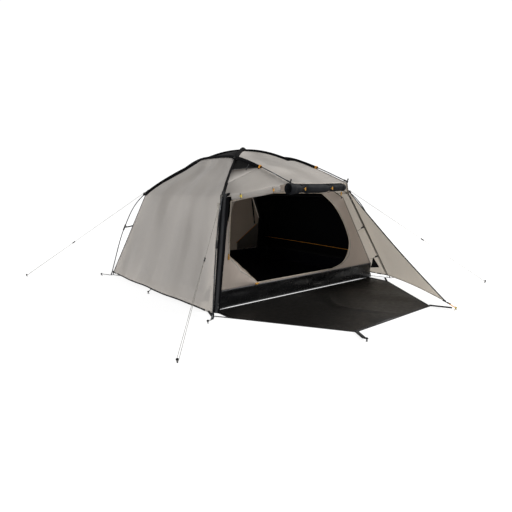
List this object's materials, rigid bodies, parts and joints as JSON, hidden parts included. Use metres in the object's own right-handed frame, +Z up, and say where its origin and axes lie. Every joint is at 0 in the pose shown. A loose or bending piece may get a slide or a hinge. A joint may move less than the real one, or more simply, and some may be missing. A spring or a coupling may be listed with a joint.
{
  "type": "frame tent",
  "caption": "Geodesic frame tent, pitched, with sleeved fly, inner tent, open front vestibule, closed rear vestibule, guys and pegs.",
  "frame": {"origin": "on the ground, under the middle of the inner's floor", "axes": "+X along the front from its left pole foot to its right one, +Y towards the back, +Z up; the open vestibule is on the -Y side"},
  "size_m": [3.7607, 4.4356, 1.5799],
  "materials": {
    "fly_grey": "pale warm grey proofed ripstop, faint weave, soft sheen",
    "fly_slate": "dark slate underside of the rolled vestibule door",
    "black_fabric": "matt black woven polyester sleeves, hems and mesh",
    "inner_beige": "thin beige breathable nylon",
    "tub_black": "black coated groundsheet, slight sheen",
    "pole_black": "dark anodised alloy tube",
    "plastic_black": "black moulded plastic",
    "orange_trim": "orange-brown moulded plastic and webbing",
    "guyline": "grey braided cord",
    "peg_alloy": "olive-gold anodised alloy"
  },
  "bodies": {
    "tent": {"main_pole_one": "pole_black", "main_pole_two": "pole_black", "main_sleeve_one": "black_fabric", "main_sleeve_two": "black_fabric", "ridge_pole_left": "pole_black", "ridge_pole_right": "pole_black", "ridge_sleeve_left": "black_fabric", "ridge_sleeve_right": "black_fabric", "fly_side_left": "fly_grey", "fly_side_right": "fly_grey", "fly_peak_left": "black_fabric", "fly_peak_right": "black_fabric", "fly_roof_front": "fly_grey", "fly_roof_rear": "fly_grey", "rear_vestibule": "fly_grey", "front_wing": "fly_grey", "zip_flap": "black_fabric", "wing_roll": "fly_grey", "door_roll": "fly_slate", "groundsheet": "tub_black", "inner_tub": "tub_black", "inner_front_wall": "inner_beige", "inner_rear_wall": "inner_beige", "inner_end_wall_left": "black_fabric", "inner_end_wall_right": "black_fabric", "inner_roof": "black_fabric", "inner_door_leaf": "inner_beige", "guyline_a": "guyline", "guyline_b": "guyline", "guyline_c": "guyline", "guyline_d": "guyline", "guy_peg_a": "peg_alloy", "guy_peg_b": "peg_alloy", "guy_peg_c": "peg_alloy", "guy_peg_d": "peg_alloy", "corner_peg_a": "peg_alloy", "corner_peg_b": "peg_alloy", "corner_peg_c": "peg_alloy", "corner_peg_d": "peg_alloy", "side_peg_left": "peg_alloy", "side_peg_right": "peg_alloy", "front_peg_left": "peg_alloy", "front_peg_right": "peg_alloy", "rear_peg_left": "peg_alloy", "rear_peg_right": "peg_alloy"},
    "tensioner_a": {"tensioner_a": "plastic_black"},
    "tensioner_b": {"tensioner_b": "plastic_black"},
    "tensioner_c": {"tensioner_c": "plastic_black"},
    "tensioner_d": {"tensioner_d": "plastic_black"},
    "toggle_wing_left": {"toggle_wing_left": "orange_trim"},
    "toggle_wing_right": {"toggle_wing_right": "orange_trim"},
    "toggle_door_left": {"toggle_door_left": "orange_trim"},
    "toggle_door_right": {"toggle_door_right": "orange_trim"},
    "fly_zip_slider": {"fly_zip_slider": "plastic_black"},
    "inner_zip_slider_side": {"inner_zip_slider_side": "orange_trim"},
    "inner_zip_slider_sill": {"inner_zip_slider_sill": "orange_trim"},
    "wing_buckle": {"wing_buckle": "plastic_black"},
    "vent_prop": {"vent_prop": "plastic_black"}
  },
  "joints": [
    {"name": "tensioner_a_slide", "type": "slide", "parent": "tent", "child": "tensioner_a", "axis": [-0.6427, 0.5361, -0.5473], "range_m": [-0.35, 0.35]},
    {"name": "tensioner_b_slide", "type": "slide", "parent": "tent", "child": "tensioner_b", "axis": [-0.5875, -0.5624, -0.5818], "range_m": [-0.35, 0.35]},
    {"name": "tensioner_c_slide", "type": "slide", "parent": "tent", "child": "tensioner_c", "axis": [0.5231, -0.6422, -0.5604], "range_m": [-0.35, 0.35]},
    {"name": "tensioner_d_slide", "type": "slide", "parent": "tent", "child": "tensioner_d", "axis": [0.5863, 0.5799, -0.5657], "range_m": [-0.35, 0.35]},
    {"name": "toggle_wing_left_turn", "type": "hinge", "parent": "tent", "child": "toggle_wing_left", "pos_m": [-0.73288, -0.94908, 0.95097], "axis": [-0.6332, -0.774, 0], "range_deg": [-90, 90]},
    {"name": "toggle_wing_right_turn", "type": "hinge", "parent": "tent", "child": "toggle_wing_right", "pos_m": [-0.51807, -1.11821, 0.99781], "axis": [-0.6332, -0.774, 0], "range_deg": [-90, 90]},
    {"name": "toggle_door_left_turn", "type": "hinge", "parent": "tent", "child": "toggle_door_left", "pos_m": [-0.26665, -1.239, 1.0027], "axis": [0, -1, 0], "range_deg": [-90, 90]},
    {"name": "toggle_door_right_turn", "type": "hinge", "parent": "tent", "child": "toggle_door_right", "pos_m": [0.068, -1.239, 1.00171], "axis": [0, -1, 0], "range_deg": [-90, 90]},
    {"name": "fly_zip_slide", "type": "slide", "parent": "tent", "child": "fly_zip_slider", "axis": [0.341, 0.2969, 0.892], "range_m": [0, 0.853]},
    {"name": "inner_zip_side_slide", "type": "slide", "parent": "tent", "child": "inner_zip_slider_side", "axis": [0.1616, 0.1464, 0.9759], "range_m": [0, 0.43]},
    {"name": "inner_zip_sill_slide", "type": "slide", "parent": "tent", "child": "inner_zip_slider_sill", "axis": [1, 0, 0], "range_m": [0, 0.93]},
    {"name": "wing_buckle_slide", "type": "slide", "parent": "tent", "child": "wing_buckle", "axis": [0.2437, -0.9052, -0.3482], "range_m": [0, 0.025]},
    {"name": "vent_prop_hinge", "type": "hinge", "parent": "tent", "child": "vent_prop", "pos_m": [-0.46979, -0.66509, 1.17362], "axis": [-0.1402, 0.9621, 0.2341], "range_deg": [-54, 30]}
  ]
}
